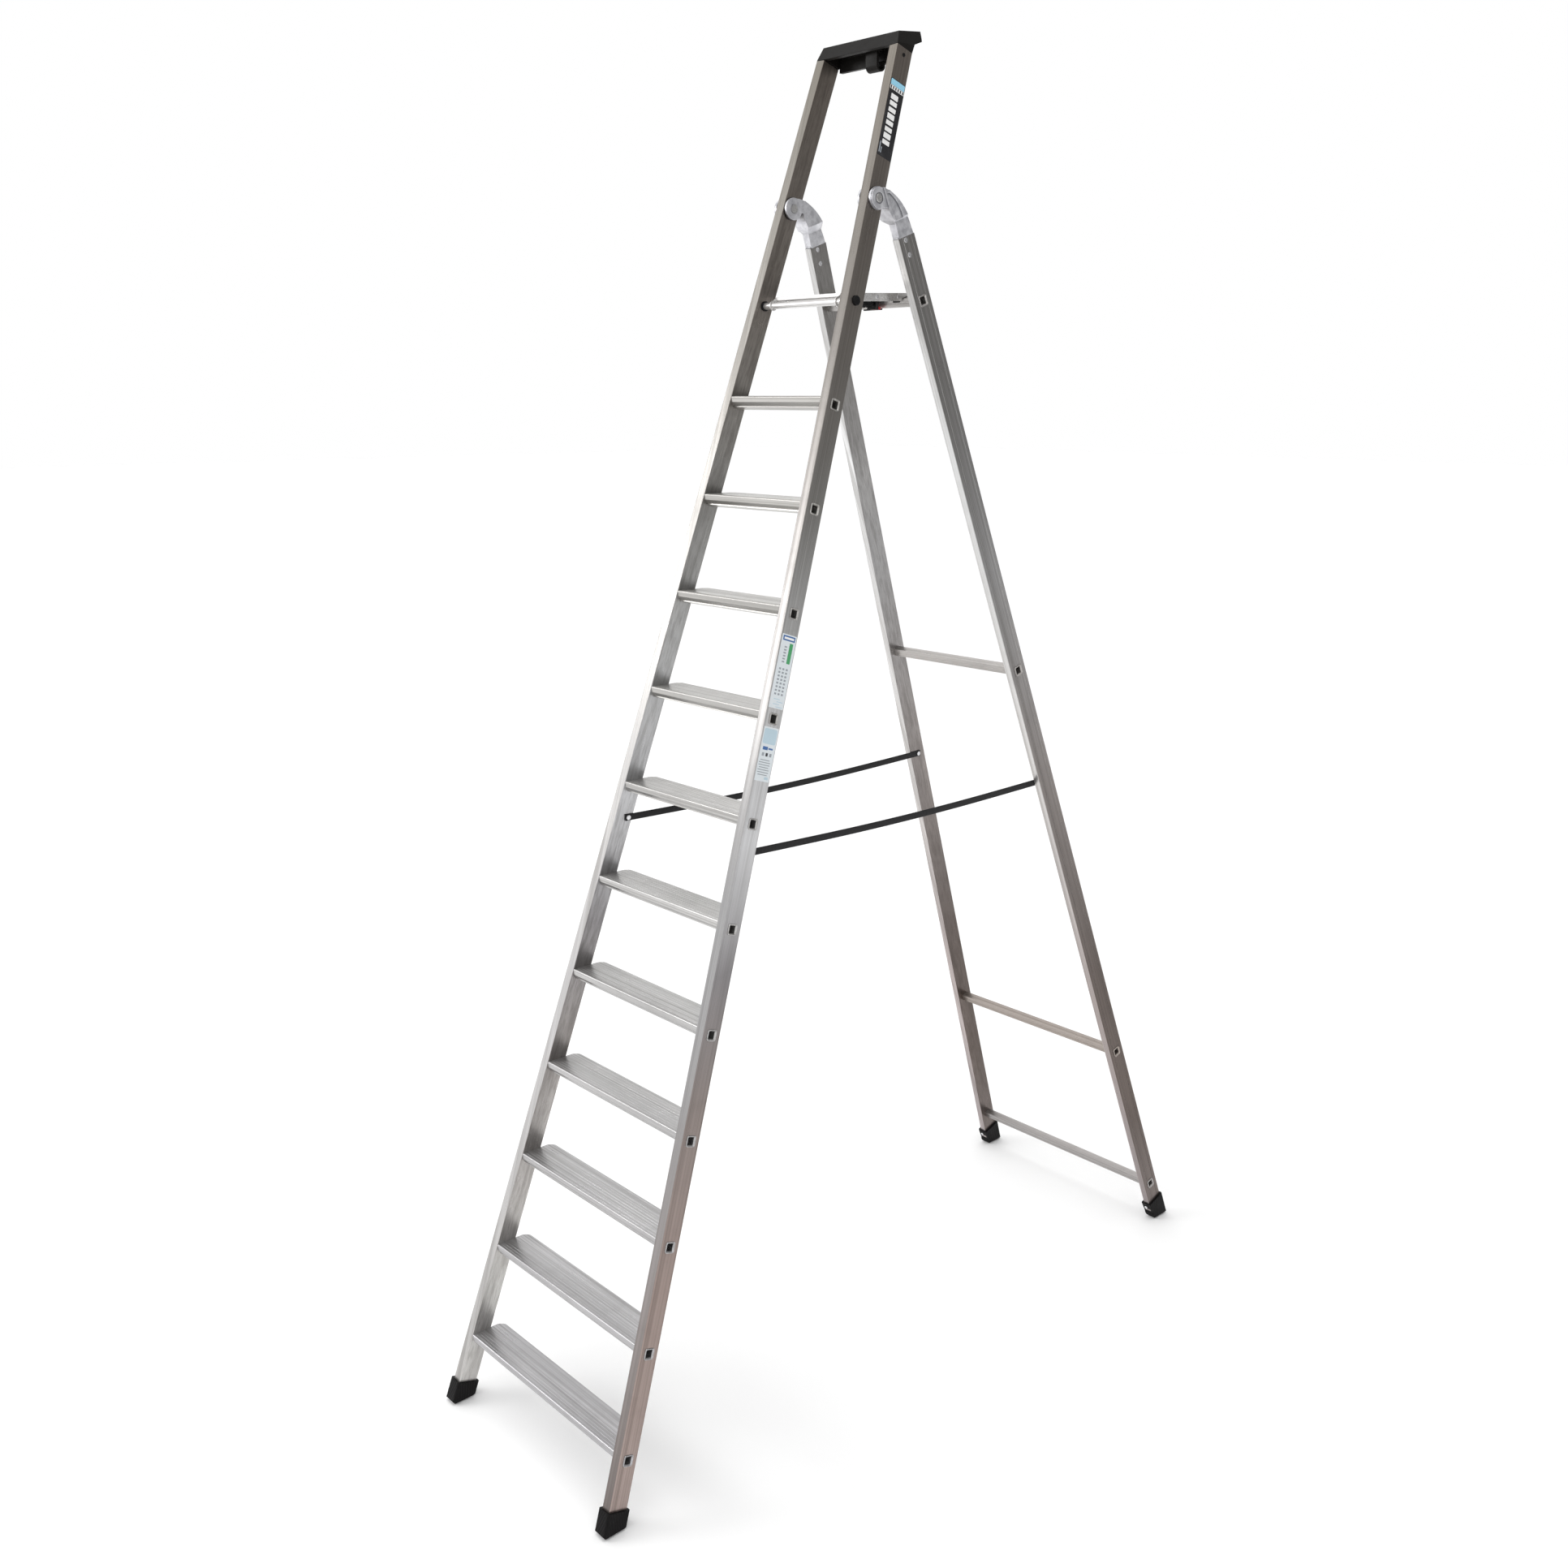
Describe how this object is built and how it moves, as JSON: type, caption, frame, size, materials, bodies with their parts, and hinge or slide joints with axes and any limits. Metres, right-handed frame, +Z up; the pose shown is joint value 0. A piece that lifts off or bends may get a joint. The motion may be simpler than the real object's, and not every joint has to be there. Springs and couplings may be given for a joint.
{
  "type": "platform step ladder",
  "caption": "Tall splayed aluminium step ladder with flat treads, a folding platform, hinged rear legs tied by webbing straps, and a top tool tray with a bucket hook.",
  "frame": {"origin": "on the floor, at the middle of the box that bounds the whole ladder", "axes": "+X a climber's right hand, +Y from the climbing side to the rear legs, +Z up"},
  "size_m": [0.7252, 2.215, 3.393],
  "materials": {
    "stile_aluminium": "mill finish extrusion",
    "tread_aluminium": "mill finish extrusion",
    "cast_alloy": "satin casting",
    "bright_steel": "bright plated",
    "black_plastic": "moulded",
    "red_plastic": "moulded",
    "spring_steel": "oiled wire",
    "webbing": "woven",
    "dark_film": "printed film",
    "pale_film": "printed film"
  },
  "bodies": {
    "front_frame": {"axle_cap_left": "black_plastic", "axle_cap_right": "black_plastic", "bucket_hook": "black_plastic", "foot_front_left": "black_plastic", "foot_front_right": "black_plastic", "hinge_bush_left": "black_plastic", "hinge_bush_right": "black_plastic", "hook_screws": "bright_steel", "instruction_label_lower": "pale_film", "instruction_label_upper": "pale_film", "name_label": "dark_film", "platform_axle": "bright_steel", "platform_bush_left": "black_plastic", "platform_bush_right": "black_plastic", "stile_front_left": "stile_aluminium", "stile_front_right": "stile_aluminium", "strap_left": "webbing", "strap_right": "webbing", "strap_rivets_front": "bright_steel", "tool_tray": "black_plastic", "tray_rivets": "black_plastic", "tread_01": "tread_aluminium", "tread_02": "tread_aluminium", "tread_03": "tread_aluminium", "tread_04": "tread_aluminium", "tread_05": "tread_aluminium", "tread_06": "tread_aluminium", "tread_07": "tread_aluminium", "tread_08": "tread_aluminium", "tread_09": "tread_aluminium", "tread_10": "tread_aluminium", "tread_11": "tread_aluminium"},
    "rear_frame": {"stile_rear_left": "stile_aluminium", "stile_rear_right": "stile_aluminium", "rear_bar_platform": "tread_aluminium", "rear_bar_upper": "tread_aluminium", "rear_bar_middle": "tread_aluminium", "rear_bar_lower": "tread_aluminium", "hinge_arm_left": "cast_alloy", "hinge_arm_right": "cast_alloy", "hinge_pin_left": "bright_steel", "hinge_pin_right": "bright_steel", "hinge_rivets": "bright_steel", "foot_rear_left": "black_plastic", "foot_rear_right": "black_plastic", "foot_rear_rivets": "bright_steel", "strap_rivets_rear": "bright_steel"},
    "platform": {"platform_tube": "tread_aluminium", "platform_deck": "tread_aluminium", "platform_side_left": "tread_aluminium", "platform_side_right": "tread_aluminium", "platform_rivets": "bright_steel", "platform_hook_left": "black_plastic", "platform_hook_right": "black_plastic", "platform_catch": "black_plastic", "catch_pin": "bright_steel", "catch_spring": "spring_steel"},
    "lever": {"catch_lever": "red_plastic"}
  },
  "joints": [
    {"name": "rear_fold", "type": "hinge", "parent": "front_frame", "child": "rear_frame", "pos_m": [0, -0.08304, 3.00285], "axis": [1, 0, 0], "range_deg": [-38, 0], "deforming": ["strap_left", "strap_right"]},
    {"name": "platform_lift", "type": "hinge", "parent": "front_frame", "child": "platform", "pos_m": [0, -0.16106, 2.77], "axis": [1, 0, 0], "range_deg": [0, 70]},
    {"name": "catch_release", "type": "hinge", "parent": "platform", "child": "lever", "pos_m": [0, 0.04745, 2.78634], "axis": [-1, 0, 0], "range_deg": [0, 25], "stiffness_Nm_per_rad": 0.03, "springref_deg": -11.46, "deforming": ["catch_spring"]}
  ],
  "couplings": [
    {"joint": "platform_lift", "follows": "rear_fold", "ratio": -1.84}
  ]
}
